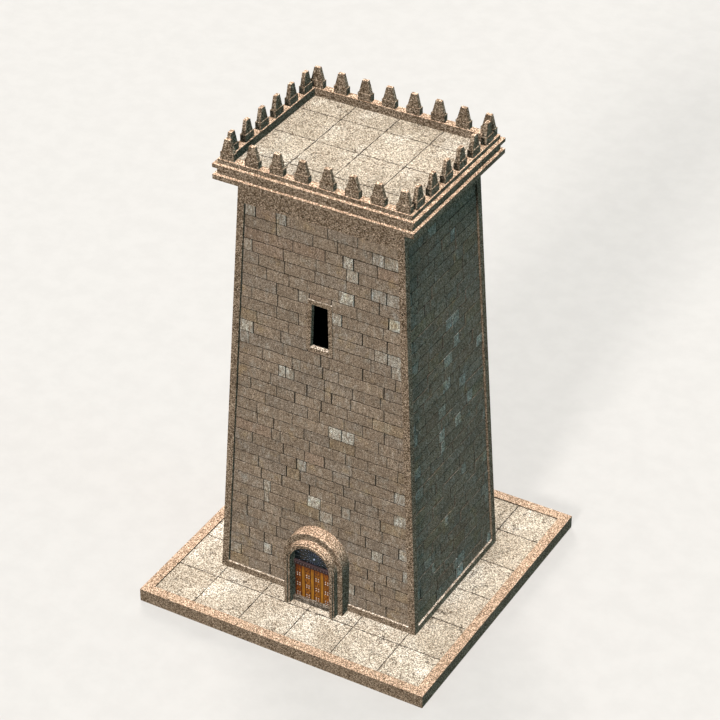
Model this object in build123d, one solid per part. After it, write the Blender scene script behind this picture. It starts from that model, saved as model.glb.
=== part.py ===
from build123d import *
import os

# Battered stone keep on a square paved plinth. Lengths are in millimetres.
# The origin is the middle of the plinth's underside, Z is up and the door faces -Y.

# Plinth, up to its paving; the kerb round it stands a little higher
plinth_side = 15000
plinth_height = 610
kerb_width = 500
kerb_rise = 60
paving_thickness = 150

# Shaft, measured over its raised corner strips; each face leans in by its lean over the height
shaft_width = 10400
shaft_depth = 7970
shaft_height = 21210
side_lean = 1160
front_lean = 630
strip_width = 340
strip_relief = 120
frieze_height = 1230

# Walls with upright inner faces; the upper floor bears on a ledge where they get thinner
wall_top_thickness = 570
floor_ledge = 150
upper_floor_thickness = 250

# Cornice and roof terrace
cornice_side_overhang = 850
cornice_front_overhang = 720
lower_ledge_height = 230
neck_height = 345
upper_ledge_height = 175
neck_recess = 150
terrace_thickness = 340

# Parapet and merlons
parapet_height = 200
parapet_thickness = 400
parapet_setback = 170
merlons_in_long_row = 8
merlons_in_short_row = 6
merlon_width = 670
merlon_thickness = 290
merlon_height = 970
merlon_foot_height = 350
merlon_set_back = 40
merlon_top_width = 280
merlon_top_thickness = 170
merlon_end_gap = 120
merlon_corner_gap = 170

# Portal of two stepped orders, a little to the right of the middle; a raised band runs round the inner one
portal_offset = 80
opening_width = 2100
springing_height = 2475
inner_order_width = 260
inner_order_projection = 805
inner_band_inset = 95
inner_band_width = 115
inner_band_projection = 90
outer_order_width = 245
outer_order_projection = 475
outer_order_stilt = 80

# Door of two leaves, turning on pivots
door_recess = 455
door_height = 2070
threshold_height = 220
threshold_projection = 180
threshold_tail = 120
transom_height = 230
transom_depth = 200
leaf_thickness = 90
leaf_side_clearance = 10
leaf_end_clearance = 10
leaf_meeting_gap = 10
board_gap_width = 14
board_gap_depth = 16
board_shares = (0.31, 0.19, 0.31, 0.19)
pivot_radius = 25
pivot_engagement = 35
pivot_clearance = 1
fanlight_thickness = 30

# Window with an embrasure behind it
window_rise = 13730
window_height = 2210
window_sill_width = 940
window_head_width = 795
window_breast_height = 1000
window_frame_width = 205
window_frame_relief = 75
window_sill_height = 150
window_reveal = 155
embrasure_width = 1700

# Seats
seat_gap = 0.3

# Heights that follow
kerb_top = plinth_height + kerb_rise
shaft_top = plinth_height + shaft_height
frieze_foot = shaft_top - frieze_height
springing = plinth_height + springing_height
window_sill = plinth_height + window_rise
window_head = window_sill + window_height
embrasure_head = window_head + window_frame_width
upper_floor_top = window_sill - window_breast_height
ledge_top = upper_floor_top - upper_floor_thickness
neck_foot = shaft_top + lower_ledge_height
upper_ledge_foot = neck_foot + neck_height
parapet_foot = upper_ledge_foot + upper_ledge_height
parapet_top = parapet_foot + parapet_height
threshold_top = plinth_height + threshold_height
transom_foot = plinth_height + door_height
transom_top = transom_foot + transom_height

# Half sizes and places that follow
plinth_half = plinth_side / 2
court_half = plinth_half - kerb_width
shaft_top_half_x = shaft_width / 2 - side_lean
shaft_top_half_y = shaft_depth / 2 - front_lean
room_half_x = shaft_top_half_x - strip_relief - wall_top_thickness
room_half_y = shaft_top_half_y - strip_relief - wall_top_thickness
hall_half_x = room_half_x - floor_ledge
hall_half_y = room_half_y - floor_ledge
cornice_half = (shaft_top_half_x + cornice_side_overhang, shaft_top_half_y + cornice_front_overhang)
opening_half = opening_width / 2
inner_order_half = opening_half + inner_order_width
inner_band_inner_half = opening_half + inner_band_inset
inner_band_outer_half = inner_band_inner_half + inner_band_width
outer_order_half = inner_order_half + outer_order_width
inner_order_front = -shaft_depth / 2 - inner_order_projection
inner_band_front = inner_order_front - inner_band_projection
outer_order_front = -shaft_depth / 2 - outer_order_projection
leaf_front = inner_order_front + door_recess
pivot_y = leaf_front + leaf_thickness / 2
pivot_x = opening_half - leaf_side_clearance - leaf_thickness / 2
embrasure_half = embrasure_width / 2


# Lines of the battered shaft, as functions of height
def rise_share(z):
    """Share of the shaft's height that lies below z."""
    return (z - plinth_height) / shaft_height


def face_x(z):
    """Half width of the shaft over its corner strips."""
    return shaft_width / 2 - side_lean * rise_share(z)


def face_y(z):
    """Half depth of the shaft over its corner strips."""
    return shaft_depth / 2 - front_lean * rise_share(z)


def panel_x(z):
    """Half width of the shaft over its recessed panels."""
    return face_x(z) - strip_relief


def panel_y(z):
    """Half depth of the shaft over its recessed panels."""
    return face_y(z) - strip_relief


def strip_x(z):
    """Inner edge of a corner strip on the front or back."""
    return face_x(z) - strip_width


def strip_y(z):
    """Inner edge of a corner strip on the left or right."""
    return face_y(z) - strip_width


def minus(line):
    return lambda z: -line(z)


def moved(line, distance):
    return lambda z: line(z) + distance


# Shared forms
def at(bound, z):
    """Value of a bound at a height; a bound is a length or a line of the shaft."""
    return bound(z) if callable(bound) else bound


def leaning_slice(plane, low, high, bounds):
    """Four-sided outline between two heights, drawn on a plane and carried across the plinth."""
    left, right = bounds
    outline = Polyline(
        (at(left, low), low),
        (at(right, low), low),
        (at(right, high), high),
        (at(left, high), high),
        close=True,
    )
    return extrude(plane * make_face(outline), plinth_side, both=True)


def block(low, high, x_bounds, y_bounds):
    """Block between two heights whose sides lean with the bounds given."""
    return leaning_slice(Plane.XZ, low, high, x_bounds) & leaning_slice(Plane.YZ, low, high, y_bounds)


def across(line):
    """Bounds from a line to its mirror image."""
    return (minus(line), line) if callable(line) else (-line, line)


def pair(shape):
    """A shape on the right and its mirror image on the left."""
    return shape + mirror(shape, about=Plane.YZ)


def at_portal(shape):
    """A shape made in the middle of the front, moved to the portal's place."""
    return Pos(portal_offset, 0, 0) * shape


def on_side(side, front_shape, right_shape):
    """A piece for one side of the shaft from the front and right ones."""
    if side == "front":
        return front_shape()
    if side == "back":
        return mirror(front_shape(), about=Plane.XZ)
    if side == "right":
        return right_shape()
    return mirror(right_shape(), about=Plane.YZ)


def ring_side(side, outer, inner, low, height):
    """One side of a rectangular ring, mitred at its ends."""
    front_corners = (
        (-outer[0], -outer[1]),
        (outer[0], -outer[1]),
        (inner[0], -inner[1]),
        (-inner[0], -inner[1]),
    )
    right_corners = (
        (outer[0], -outer[1]),
        (outer[0], outer[1]),
        (inner[0], inner[1]),
        (inner[0], -inner[1]),
    )

    def course(corners):
        return extrude(Plane.XY.offset(low) * make_face(Polyline(*corners, close=True)), height)

    return on_side(side, lambda: course(front_corners), lambda: course(right_corners))


def inside(half_sizes, inset):
    return (half_sizes[0] - inset, half_sizes[1] - inset)


# Plinth
def plinth_core():
    return block(0, plinth_height - paving_thickness, across(court_half), across(court_half))


def plinth_paving():
    return block(plinth_height - paving_thickness, plinth_height, across(court_half), across(court_half))


def kerb(side):
    def front_kerb():
        return block(0, kerb_top, across(plinth_half), (-plinth_half, -court_half))

    def right_kerb():
        return block(0, kerb_top, (court_half, plinth_half), across(court_half))

    return on_side(side, front_kerb, right_kerb)


# Raised strips that frame the panels of the shaft
def corner_strip(side_x, side_y):
    """L-shaped strip that wraps one corner from the paving to the cornice."""
    front_arm = block(plinth_height, shaft_top, (strip_x, face_x), (minus(face_y), minus(panel_y)))
    side_arm = block(plinth_height, shaft_top, (panel_x, face_x), (minus(panel_y), minus(strip_y)))
    strip = front_arm + side_arm
    if side_x == "left":
        strip = mirror(strip, about=Plane.YZ)
    if side_y == "back":
        strip = mirror(strip, about=Plane.XZ)
    return strip


def bands(low, high):
    """Bands between the corner strips: the front one, then the other three."""
    front_band = block(low, high, across(strip_x), (minus(face_y), minus(panel_y)))
    side_band = block(low, high, (panel_x, face_x), across(strip_y))
    return front_band, mirror(front_band, about=Plane.XZ) + pair(side_band)


def base_course():
    """Band along the foot of the panels, parted at the front for the portal."""
    low, high = plinth_height, plinth_height + strip_width
    front_band, other_bands = bands(low, high)
    gap = block(low, high, across(outer_order_half), (minus(face_y), minus(panel_y)))
    return front_band - at_portal(gap) + other_bands


def frieze():
    """Plain band under the cornice."""
    front_band, other_bands = bands(frieze_foot, shaft_top)
    return front_band + other_bands


# Walls
def front_wall_bounds(inner_half):
    return (minus(panel_y), -inner_half)


def front_wall_beside_door():
    depth_bounds = front_wall_bounds(hall_half_y)
    left_end = block(plinth_height, springing, (minus(panel_x), portal_offset - opening_half), depth_bounds)
    right_end = block(plinth_height, springing, (portal_offset + opening_half, panel_x), depth_bounds)
    return left_end + right_end


def front_wall_over_door():
    hall_part = block(springing, ledge_top, across(panel_x), front_wall_bounds(hall_half_y))
    ledge_part = block(ledge_top, upper_floor_top, across(panel_x), front_wall_bounds(room_half_y))
    return hall_part + ledge_part - at_portal(arch_disc(opening_half, springing))


def front_wall_beside_window():
    depth_bounds = front_wall_bounds(room_half_y)
    return pair(block(upper_floor_top, embrasure_head, (embrasure_half, panel_x), depth_bounds))


def front_wall_over_window():
    return block(embrasure_head, shaft_top, across(panel_x), front_wall_bounds(room_half_y))


def back_wall():
    hall_part = block(plinth_height, ledge_top, across(panel_x), (hall_half_y, panel_y))
    room_part = block(ledge_top, shaft_top, across(panel_x), (room_half_y, panel_y))
    return hall_part + room_part


def side_wall(side):
    hall_part = block(plinth_height, ledge_top, (hall_half_x, panel_x), across(hall_half_y))
    room_part = block(ledge_top, shaft_top, (room_half_x, panel_x), across(room_half_y))
    wall = hall_part + room_part
    return wall if side == "right" else mirror(wall, about=Plane.YZ)


def upper_floor():
    return block(ledge_top, upper_floor_top, across(room_half_x), across(room_half_y))


# Cornice, terrace and parapet
parapet_outer = inside(cornice_half, parapet_setback)
parapet_inner = inside(parapet_outer, parapet_thickness)


def cornice(side):
    """Two thin ledges with a recessed neck between them; the lower ledge runs in over the wall."""
    lower = ring_side(side, cornice_half, (room_half_x, room_half_y), shaft_top, lower_ledge_height)
    neck = ring_side(side, inside(cornice_half, neck_recess), parapet_inner, neck_foot, neck_height)
    upper = ring_side(side, cornice_half, parapet_inner, upper_ledge_foot, upper_ledge_height)
    return lower + neck + upper


def terrace_deck():
    return block(neck_foot, neck_foot + terrace_thickness, across(parapet_inner[0]), across(parapet_inner[1]))


def parapet(side):
    return ring_side(side, parapet_outer, parapet_inner, parapet_foot, parapet_height)


# Merlons
def tapering(foot_size, top_size):
    """Half size of a merlon's body as a line of height, from its set-back foot to its flat top."""
    foot_half = foot_size / 2 - merlon_set_back
    lean = (foot_half - top_size / 2) / (merlon_height - merlon_foot_height)
    return lambda z: foot_half - lean * (z - merlon_foot_height)


def merlon():
    """Merlon on the origin facing -Y: a square foot and a set-back body tapering both ways to a flat top."""
    foot = block(0, merlon_foot_height, across(merlon_width / 2), across(merlon_thickness / 2))
    half_width = tapering(merlon_width, merlon_top_width)
    half_thickness = tapering(merlon_thickness, merlon_top_thickness)
    body = block(merlon_foot_height, merlon_height, across(half_width), across(half_thickness))
    return foot + body


def spread(count, last):
    """Evenly spaced places from -last to last."""
    return [last * (2 * index / (count - 1) - 1) for index in range(count)]


def merlon_row(side):
    """Row along the middle of one parapet; the long rows take the corners."""
    row_x = parapet_outer[0] - parapet_thickness / 2
    row_y = parapet_outer[1] - parapet_thickness / 2
    last_x = parapet_outer[0] - merlon_end_gap - merlon_width / 2
    last_y = row_y - merlon_thickness / 2 - merlon_corner_gap - merlon_width / 2
    long_row = [Pos(x, -row_y, parapet_top) for x in spread(merlons_in_long_row, last_x)]
    short_row = [Pos(row_x, y, parapet_top) * Rot(0, 0, 90) for y in spread(merlons_in_short_row, last_y)]

    def row(places):
        stone = merlon()
        return Compound(children=[place * stone for place in places])

    return on_side(side, lambda: row(long_row), lambda: row(short_row))


# Portal
def arch_disc(radius, level):
    """Round bar through the front wall on the centre line of an arch."""
    return extrude(Plane.XZ * (Pos(0, level) * Circle(radius)), plinth_side, both=True)


def order_jambs(inner_half, outer_half, front):
    return pair(block(plinth_height, springing, (inner_half, outer_half), (front, minus(panel_y))))


def order_arch(inner_half, outer_half, front, stilt=0):
    """Arch over the jambs of one order; a stilt raises the round of its outer edge on straight sides."""
    centre = springing + stilt
    depth_bounds = (front, minus(panel_y))
    head = block(centre, centre + outer_half, across(outer_half), depth_bounds)
    arch = head & arch_disc(outer_half, centre)
    if stilt:
        arch += block(springing, centre, across(outer_half), depth_bounds)
    return arch - arch_disc(inner_half, springing)


def portal_inner_jambs():
    order = order_jambs(opening_half, inner_order_half, inner_order_front)
    return order + order_jambs(inner_band_inner_half, inner_band_outer_half, inner_band_front)


def portal_inner_arch():
    order = order_arch(opening_half, inner_order_half, inner_order_front)
    return order + order_arch(inner_band_inner_half, inner_band_outer_half, inner_band_front)


def portal_outer_jambs():
    return order_jambs(inner_order_half + seat_gap, outer_order_half, outer_order_front)


def portal_outer_arch():
    return order_arch(inner_order_half + seat_gap, outer_order_half, outer_order_front, outer_order_stilt)


# Door
def upright_rod(radius, low, high):
    """Round rod on the right pivot line."""
    rod = Cylinder(radius, high - low, align=(Align.CENTER, Align.CENTER, Align.MIN))
    return Pos(pivot_x, pivot_y, low) * rod


def pivot_sockets(low, high):
    """Holes on both pivot lines, a running clearance wider than the pivots."""
    return pair(upright_rod(pivot_radius + pivot_clearance, low, high))


def threshold():
    depth_bounds = (leaf_front - threshold_projection, leaf_front + leaf_thickness + threshold_tail)
    slab = block(plinth_height, threshold_top, across(opening_half), depth_bounds)
    return slab - pivot_sockets(threshold_top - pivot_engagement - seat_gap, threshold_top)


def transom():
    depth_bounds = (pivot_y - transom_depth / 2, pivot_y + transom_depth / 2)
    bar = block(transom_foot, transom_top, across(opening_half), depth_bounds)
    return bar - pivot_sockets(transom_foot, transom_foot + pivot_engagement + seat_gap)


def fanlight():
    """Pane between the transom and the arch."""
    pane_half = opening_half - seat_gap
    depth_bounds = (pivot_y - fanlight_thickness / 2, pivot_y + fanlight_thickness / 2)
    foot = block(transom_top, springing, across(pane_half), depth_bounds)
    head = block(springing, springing + opening_half, across(pane_half), depth_bounds)
    return foot + (head & arch_disc(pane_half, springing))


def door_leaf(side):
    """Leaf of upright boards whose rounded heel turns on two pivots; the boards repeat from left to right."""
    leaf_foot = threshold_top + leaf_end_clearance
    leaf_top = transom_foot - leaf_end_clearance
    leaf_back = leaf_front + leaf_thickness
    meeting_edge = leaf_meeting_gap / 2
    slab = block(leaf_foot, leaf_top, (meeting_edge, pivot_x), (leaf_front, leaf_back))
    heel = upright_rod(leaf_thickness / 2, leaf_foot, leaf_top)
    pivots = upright_rod(pivot_radius, threshold_top - pivot_engagement, transom_foot + pivot_engagement)
    leaf = slab + heel + pivots
    board_edge = meeting_edge
    outward_shares = board_shares if side == "right" else board_shares[::-1]
    for share in outward_shares[:-1]:
        board_edge += share * (pivot_x - meeting_edge)
        gap_bounds = (board_edge - board_gap_width / 2, board_edge + board_gap_width / 2)
        leaf -= block(leaf_foot, leaf_top, gap_bounds, (leaf_front, leaf_front + board_gap_depth))
    return leaf if side == "right" else mirror(leaf, about=Plane.YZ)


# Window
def window_edge(z):
    """Half width of the window at a height; it narrows with the shaft."""
    share = (z - window_sill) / window_height
    return (window_sill_width + (window_head_width - window_sill_width) * share) / 2


window_back = moved(minus(panel_y), window_reveal)
window_front = moved(minus(panel_y), -window_frame_relief)
frame_edge = moved(window_edge, window_frame_width)


def window_breast():
    """Thin wall under the window, at the back of which the embrasure reaches the floor."""
    breast_top = window_sill - window_sill_height
    return block(upper_floor_top, breast_top, across(embrasure_half), (minus(panel_y), window_back))


def window_sill_stone():
    low = window_sill - window_sill_height
    tail = block(low, window_sill, across(embrasure_half), (minus(panel_y), window_back))
    nose = block(low, window_sill, across(frame_edge), (window_front, minus(panel_y)))
    return tail + nose


def window_jambs():
    lip = block(window_sill, window_head, (window_edge, embrasure_half), (minus(panel_y), window_back))
    frame = block(window_sill, window_head, (window_edge, frame_edge), (window_front, minus(panel_y)))
    return pair(lip + frame)


def window_lintel():
    lip = block(window_head, embrasure_head, across(embrasure_half), (minus(panel_y), window_back))
    frame = block(window_head, embrasure_head, across(frame_edge), (window_front, minus(panel_y)))
    return lip + frame


# Pieces by node name
pieces = {
    "plinth_core": plinth_core(),
    "plinth_paving": plinth_paving(),
    "base_course": base_course(),
    "frieze": frieze(),
    "front_wall_beside_door": front_wall_beside_door(),
    "front_wall_over_door": front_wall_over_door(),
    "front_wall_beside_window": front_wall_beside_window(),
    "front_wall_over_window": front_wall_over_window(),
    "back_wall": back_wall(),
    "upper_floor": upper_floor(),
    "terrace_deck": terrace_deck(),
    "portal_inner_jambs": at_portal(portal_inner_jambs()),
    "portal_inner_arch": at_portal(portal_inner_arch()),
    "portal_outer_jambs": at_portal(portal_outer_jambs()),
    "portal_outer_arch": at_portal(portal_outer_arch()),
    "threshold": at_portal(threshold()),
    "transom": at_portal(transom()),
    "fanlight": at_portal(fanlight()),
    "window_breast": window_breast(),
    "window_sill": window_sill_stone(),
    "window_jambs": window_jambs(),
    "window_lintel": window_lintel(),
}
for side in ("left", "right"):
    pieces[f"{side}_wall"] = side_wall(side)
    pieces[f"{side}_door_leaf"] = at_portal(door_leaf(side))
    for side_y in ("front", "back"):
        pieces[f"{side_y}_{side}_corner_strip"] = corner_strip(side, side_y)
for side in ("front", "back", "left", "right"):
    pieces[f"{side}_kerb"] = kerb(side)
    pieces[f"{side}_cornice"] = cornice(side)
    pieces[f"{side}_parapet"] = parapet(side)
    pieces[f"{side}_merlons"] = merlon_row(side)

os.makedirs("parts", exist_ok=True)
for name, shape in pieces.items():
    export_step(shape, f"parts/{name}.step")
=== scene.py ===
import math
from collections import namedtuple

import bpy
import numpy as np
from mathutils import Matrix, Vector


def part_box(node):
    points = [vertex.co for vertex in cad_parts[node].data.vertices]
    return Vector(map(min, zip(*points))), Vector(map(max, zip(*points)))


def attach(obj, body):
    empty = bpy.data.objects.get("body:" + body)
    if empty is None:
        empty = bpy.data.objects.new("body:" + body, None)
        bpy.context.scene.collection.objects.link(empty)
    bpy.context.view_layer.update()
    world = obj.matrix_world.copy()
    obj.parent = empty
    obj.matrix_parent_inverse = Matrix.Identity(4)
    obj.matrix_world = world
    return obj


# Looks of the castle keep. Lengths are in metres; Z is up and the door faces -Y.
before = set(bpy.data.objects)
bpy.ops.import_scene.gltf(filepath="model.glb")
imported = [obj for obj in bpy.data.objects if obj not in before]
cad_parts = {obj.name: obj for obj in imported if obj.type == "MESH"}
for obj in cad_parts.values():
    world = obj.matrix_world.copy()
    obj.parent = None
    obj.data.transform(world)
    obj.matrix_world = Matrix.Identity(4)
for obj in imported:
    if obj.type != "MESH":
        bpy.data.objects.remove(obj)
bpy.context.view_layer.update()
stone_seed = 20
rng = np.random.default_rng(stone_seed)

# Camera at the photograph's angle
camera_azimuth = math.radians(29.919)
camera_elevation = math.radians(34.519)
camera_target = Vector((-0.581, 1.019, 10.904))
camera_distance = 119.49
camera_lens = 131.06
camera_sensor = 36.0
camera_reach = 3000.0
floor_reach = 1500.0

# Wall stones
course_count = 33
course_variation_share = 0.03
stone_length = 1.2
stone_length_shares = (0.22, 1.58)
stone_proud_range = (0.014, 0.034)
bed_joint_range = (0.008, 0.012)
upright_joint_range = (0.004, 0.022)
upright_joint_power = 2
shortest_closer = 0.05
hidden_under_frame = 0.05
straight_rows = 2
curved_rows = 7

# Dressing of a stone's face: pitch of its points, worn edge, depth of its rim, unevenness and chips
Dressing = namedtuple("Dressing", "pitch arris seat unevenness chip")
stone_dressing = Dressing(pitch=0.15, arris=0.011, seat=0.008, unevenness=0.004, chip=0.014)
slab_dressing = Dressing(pitch=0.16, arris=0.007, seat=0.006, unevenness=0.003, chip=0.02)
chip_power = 3
edge_rows = 2

# Tones of the stones, each with the share of stones that have it
wall_tones = (
    (0.66, (1.0, 1.0, 1.0)),
    (0.2, (0.97, 1.0, 1.04)),
    (0.07, (1.03, 1.01, 0.93)),
    (0.07, (1.04, 0.99, 0.98)),
)
slab_tones = (
    (0.4, (1.0, 1.0, 1.0)),
    (0.3, (1.05, 1.06, 1.07)),
    (0.3, (0.96, 0.955, 0.945)),
)
wall_spread_share = 0.07
slab_spread_share = 0.03
paleness_range = (0.4, 1.0)
pale_longest = 0.75
pale_share = 0.85

# Slabs
court_slab = 2.435
terrace_slab = 2.2
slab_proud = 0.016
slab_side_joint = 0.016
slab_end_joint = 0.021
sliver_share = 0.1

# Studs, bars and mouldings of the door
studded_board_shares = (0.155, 0.655)
stud_row_shares = (0.09, 0.38, 0.68)
stud_radius = 0.034
stud_rise = 0.024
stud_spread = 0.062
fanlight_bar_width = 0.016
fanlight_bar_depth = 0.02
fanlight_taper_share = 0.6
fanlight_ray_count = 24
fanlight_first_share = 0.5
fanlight_hub_radius = 0.06
fanlight_hub_rise = 0.34
fanlight_hub_rise_out = 0.05
fanlight_rivet_radius = 0.016
fanlight_rivet_rise = 0.012
fanlight_rivet_circles = (0.26, 0.36, 0.47, 0.59, 0.72, 0.86)
fanlight_ring_radius = 0.17
fanlight_ring_relief = 0.006
bead_pitch = 0.15
bead_radius = 0.03
bead_rise = 0.022
bead_height_share = 0.42
transom_strip_height = 0.055
transom_strip_projection = 0.03
transom_strip_splay_share = 0.35
transom_strip_round_share = 0.15
transom_strip_set_back_share = 0.3

# Rings and sides of the domes, and sides of the ring round the hub
small_dome = (3, 10)
stud_dome = (4, 14)
hub_dome = (5, 20)
ring_sides = 32

# How near a vertex lies to a level, and to the front of a node, to count as there
level_tolerance = 0.01
front_tolerance = 0.02


# Shapes read from the frame
def corners(node):
    """Vertices of a CAD node as an array."""
    return np.array([v.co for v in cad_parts[node].data.vertices], float).reshape(-1, 3)


def at_level(points, level):
    return points[np.abs(points[:, 2] - level) < level_tolerance]


def front_half(node):
    """Half width of the foremost part of a CAD node."""
    points = corners(node)
    foremost = points[points[:, 1] < points[:, 1].min() + front_tolerance]
    return foremost[:, 0].max()


strip = corners("front_right_corner_strip")
shaft_foot = strip[:, 2].min()
shaft_top = strip[:, 2].max()
foot_half = np.abs(at_level(strip, shaft_foot)).max(0)[:2]
top_half = np.abs(at_level(strip, shaft_top)).max(0)[:2]
strip_width = foot_half[0] - at_level(strip, shaft_foot)[:, 0].min()
strip_relief = foot_half[0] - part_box("right_wall")[1].x
panel_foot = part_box("base_course")[1].z
panel_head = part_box("frieze")[0].z
paving_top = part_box("plinth_paving")[1].z
court_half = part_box("plinth_paving")[1].x
terrace_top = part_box("terrace_deck")[1].z
terrace_half = np.array(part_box("terrace_deck")[1])[:2]
merlon_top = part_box("front_merlons")[1].z
portal_low, portal_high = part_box("portal_outer_arch")
portal_middle = (portal_low.x + portal_high.x) / 2
portal_half = (portal_high.x - portal_low.x) / 2
portal_round = portal_high.z - portal_half
frame_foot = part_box("window_sill")[0].z
frame_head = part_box("window_lintel")[1].z
frame_half_foot = front_half("window_sill")
frame_half_head = front_half("window_lintel")


def face_half(axis, z):
    """Half size of the shaft over its corner strips at a height, along X or Y."""
    share = (z - shaft_foot) / (shaft_top - shaft_foot)
    return foot_half[axis] + (top_half[axis] - foot_half[axis]) * share


def panel_half(axis, z):
    return face_half(axis, z) - strip_relief


# Patches: scale, detail and roughness of a noise, the noise values between which an effect sets in,
# and the effect's value before and after. The noise may be stretched along the axes or shifted.
Patches = namedtuple(
    "Patches",
    "scale detail roughness low high weakest strongest stretch shift",
    defaults=((1.0, 1.0, 1.0), (0.0, 0.0, 0.0)),
)

# Values between which a noise mostly lies
usual_noise = (0.3, 0.7)
wide_noise = (0.2, 0.8)

# How far a rounded edge's normal is like the plain one where wear sets in and where it is full
wear_range = (0.98, 0.8)
wear_samples = 2


# Shader helpers
class Look:
    """A procedural material and short ways to add nodes to it."""

    def __init__(self, name):
        self.material = bpy.data.materials.new(name)
        self.material.use_nodes = True
        self.tree = self.material.node_tree
        self.shader = self.tree.nodes["Principled BSDF"]
        self.place = self.add("ShaderNodeTexCoord").outputs["Object"]

    def put(self, socket, value):
        if isinstance(value, bpy.types.NodeSocket):
            self.tree.links.new(value, socket)
        else:
            socket.default_value = value

    def add(self, kind, inputs=None, **settings):
        node = self.tree.nodes.new(kind)
        for key, value in settings.items():
            setattr(node, key, value)
        for key, value in (inputs or {}).items():
            self.put(node.inputs[key], value)
        return node

    def noise(self, scale, detail, roughness, place=None):
        inputs = {"Scale": scale, "Detail": detail, "Roughness": roughness}
        inputs["Vector"] = place or self.place
        return self.add("ShaderNodeTexNoise", inputs).outputs[0]

    def mapped(self, **changes):
        """Object coordinates stretched by a Scale or shifted by a Location."""
        return self.add("ShaderNodeMapping", {"Vector": self.place, **changes}).outputs[0]

    def patches(self, kind):
        """Value of a patchy effect at each point."""
        place = self.mapped(Location=kind.shift, Scale=kind.stretch)
        noise = self.noise(kind.scale, kind.detail, kind.roughness, place)
        return self.span(noise, kind.low, kind.high, kind.weakest, kind.strongest)

    def grains(self, scale, shift):
        """Random value of each small grain of a stone, evenly spread from 0 to 1."""
        cells = self.add("ShaderNodeTexVoronoi", {"Vector": self.mapped(Location=shift), "Scale": scale})
        return self.axis("X", cells.outputs["Color"])

    def math(self, operation, first, second=0.0, third=0.0):
        node = self.add("ShaderNodeMath", operation=operation)
        for socket, value in zip(node.inputs, (first, second, third)):
            self.put(socket, value)
        return node.outputs[0]

    def vectors(self, operation, first, second, output=0):
        return self.add("ShaderNodeVectorMath", {0: first, 1: second}, operation=operation).outputs[output]

    def span(self, value, low, high, to_low=0.0, to_high=1.0):
        """Value mapped smoothly from one range to another."""
        inputs = {0: value, 1: low, 2: high, 3: to_low, 4: to_high}
        return self.add("ShaderNodeMapRange", inputs, interpolation_type="SMOOTHSTEP").outputs[0]

    def mix(self, factor, first, second):
        inputs = {0: factor, 6: first, 7: second}
        return self.add("ShaderNodeMix", inputs, data_type="RGBA").outputs[2]

    def scaled(self, colour, value):
        """Colour times a value."""
        first = colour if isinstance(colour, bpy.types.NodeSocket) else colour[:3]
        return self.vectors("MULTIPLY", first, value)

    def tinted(self, colour, share, tint):
        """Colour times a tint, as far as a share says."""
        return self.mix(share, colour, self.scaled(colour, tint))

    def axis(self, name, vector=None):
        return self.add("ShaderNodeSeparateXYZ", {0: vector or self.place}).outputs[name]

    def attribute(self, name, output="Color"):
        return self.add("ShaderNodeAttribute", attribute_name=name).outputs[output]

    def worn_edges(self, radius, strength):
        """Share of wear along the outer edges of a piece."""
        rounded = self.add("ShaderNodeBevel", {"Radius": radius}, samples=wear_samples).outputs[0]
        plain = self.add("ShaderNodeNewGeometry").outputs["True Normal"]
        likeness = self.vectors("DOT_PRODUCT", rounded, plain, "Value")
        return self.span(likeness, *wear_range, 0.0, strength)

    def bump(self, height, distance, strength=1.0):
        inputs = {"Height": height, "Distance": distance, "Strength": strength}
        return self.add("ShaderNodeBump", inputs).outputs[0]

    def finish(self, colour, roughness, normal=None, **constants):
        self.put(self.shader.inputs["Base Color"], colour)
        self.put(self.shader.inputs["Roughness"], roughness)
        if normal is not None:
            self.put(self.shader.inputs["Normal"], normal)
        for name, value in constants.items():
            self.shader.inputs[name.replace("_", " ")].default_value = value
        return self.material


def rgb(red, green, blue):
    return (red, green, blue, 1.0)


# Layers of a stone's colour: each takes a colour and gives it back changed
streak_stretch = (9.0, 9.0, 3.2)
bloom_stretch = (3.6, 3.6, 1.7)
mark_stretch = (24.0, 24.0, 2.4)
scratch_stretch = (19.0, 19.0, 7.0)
streaks = Patches(1.0, 2.0, 0.6, low=0.34, high=0.58, weakest=0.15, strongest=1.0, stretch=streak_stretch)
pale_tint = (1.75, 2.12, 2.45)
ochre_stain = Patches(1.1, 3.0, 0.6, low=0.56, high=0.72, weakest=0.0, strongest=0.6)
ochre_tint = (1.08, 1.0, 0.76)
grey_stain = Patches(1.5, 3.0, 0.6, low=0.56, high=0.72, weakest=0.0, strongest=0.6, shift=(31.0, 17.0, 5.0))
grey_tint = (0.98, 1.1, 1.2)
bloom = Patches(1.0, 1.0, 0.5, low=0.56, high=0.68, weakest=0.0, strongest=0.6, stretch=bloom_stretch)
bloom_tint = (1.22, 1.34, 1.46)
tool_marks = Patches(1.0, 2.0, 0.6, low=0.3, high=0.7, weakest=0.8, strongest=1.2, stretch=mark_stretch)
scratches = Patches(1.0, 1.0, 0.5, low=0.7, high=0.76, weakest=0.0, strongest=0.8, stretch=scratch_stretch)
scratch_tint = (1.7, 1.9, 2.1)
trodden = Patches(0.6, 3.0, 0.6, low=0.48, high=0.68, weakest=0.0, strongest=0.8)
trodden_tint = (1.24, 1.3, 1.38)
# How far up a face looks where the painted highlight of tops sets in and where it is full
upward_range = (0.2, 0.95)
wear_radius = 0.03
usual_wear_share = 0.3


def stone_tints(rim_share):
    """Own tint of each stone, and darker rims in the joints: dark joints, and on the side walls, where they
    are darkest, painted shade as well.
    """

    def layer(look, colour):
        tinted = look.scaled(look.attribute("tint"), colour[:3])
        return look.scaled(tinted, look.span(look.attribute("wear", "Fac"), 0.0, 1.0, rim_share, 1.0))

    return layer


def pale_blocks(look, colour):
    """Streaky bluish bloom on the stones that are marked as pale."""
    strength = look.math("MULTIPLY", look.attribute("tint", "Alpha"), look.patches(streaks))
    return look.tinted(colour, strength, pale_tint)


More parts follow.
